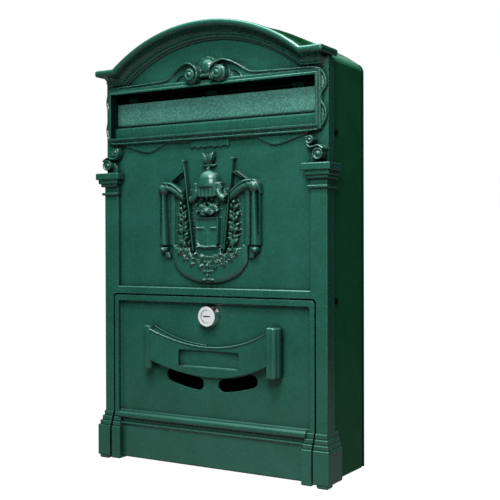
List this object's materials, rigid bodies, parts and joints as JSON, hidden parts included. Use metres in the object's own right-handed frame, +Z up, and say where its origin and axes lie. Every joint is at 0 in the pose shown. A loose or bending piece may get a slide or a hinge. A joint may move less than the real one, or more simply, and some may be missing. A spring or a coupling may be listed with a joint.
{
  "type": "wall mounted mailbox",
  "caption": "Cast-front wall mailbox with an arched pediment, hinged mail flap, drop-down door with cam lock, pilasters and a raised emblem, on a folded sheet-metal body.",
  "frame": {"origin": "middle of the back plate's wall face, 200 mm above the body's underside", "axes": "+Z up, +Y out of the back plate into the wall, +X to the right seen from the front"},
  "size_m": [0.26, 0.0949, 0.4202],
  "materials": {
    "cast_paint": "satin green powder coat on cast aluminium",
    "sheet_paint": "satin green powder coat on sheet steel",
    "flap_paint": "wrinkled green powder coat",
    "lock_chrome": "polished",
    "zinc_steel": "zinc plated",
    "dark_steel": "dark coated screw",
    "brass": "plain"
  },
  "bodies": {
    "case": {"front_frame": "cast_paint", "body_shell": "sheet_paint", "back_plate": "sheet_paint", "bottom_plate": "sheet_paint", "emblem_plaque": "cast_paint", "flap_hinge_rod": "dark_steel", "emblem_rivet_left": "zinc_steel", "emblem_rivet_right": "zinc_steel", "flap_rod_clip_left": "zinc_steel", "flap_rod_clip_right": "zinc_steel", "door_hinge_pin_left": "zinc_steel", "door_hinge_pin_right": "zinc_steel", "side_screw_left_lower": "dark_steel", "side_screw_left_upper": "dark_steel", "side_screw_right_lower": "dark_steel", "side_screw_right_upper": "dark_steel"},
    "flap": {"slot_flap": "flap_paint"},
    "door": {"door_panel": "cast_paint", "name_banner": "cast_paint", "banner_screw_left": "zinc_steel", "banner_screw_right": "zinc_steel", "lock_body": "lock_chrome", "lock_nut": "zinc_steel", "lock_washer": "zinc_steel"},
    "lock": {"lock_plug": "lock_chrome", "lock_cam": "zinc_steel", "cam_screw": "zinc_steel", "cam_washer": "brass"}
  },
  "joints": [
    {"name": "flap_hinge", "type": "hinge", "parent": "case", "child": "flap", "pos_m": [0, -0.072, 0.152], "axis": [1, 0, 0], "range_deg": [0, 70]},
    {"name": "door_hinge", "type": "hinge", "parent": "case", "child": "door", "pos_m": [0, -0.078, -0.1955], "axis": [1, 0, 0], "range_deg": [0, 100]},
    {"name": "lock_turn", "type": "hinge", "parent": "door", "child": "lock", "pos_m": [0, -0.078, -0.0578], "axis": [0, -1, 0], "range_deg": [0, 90]}
  ]
}
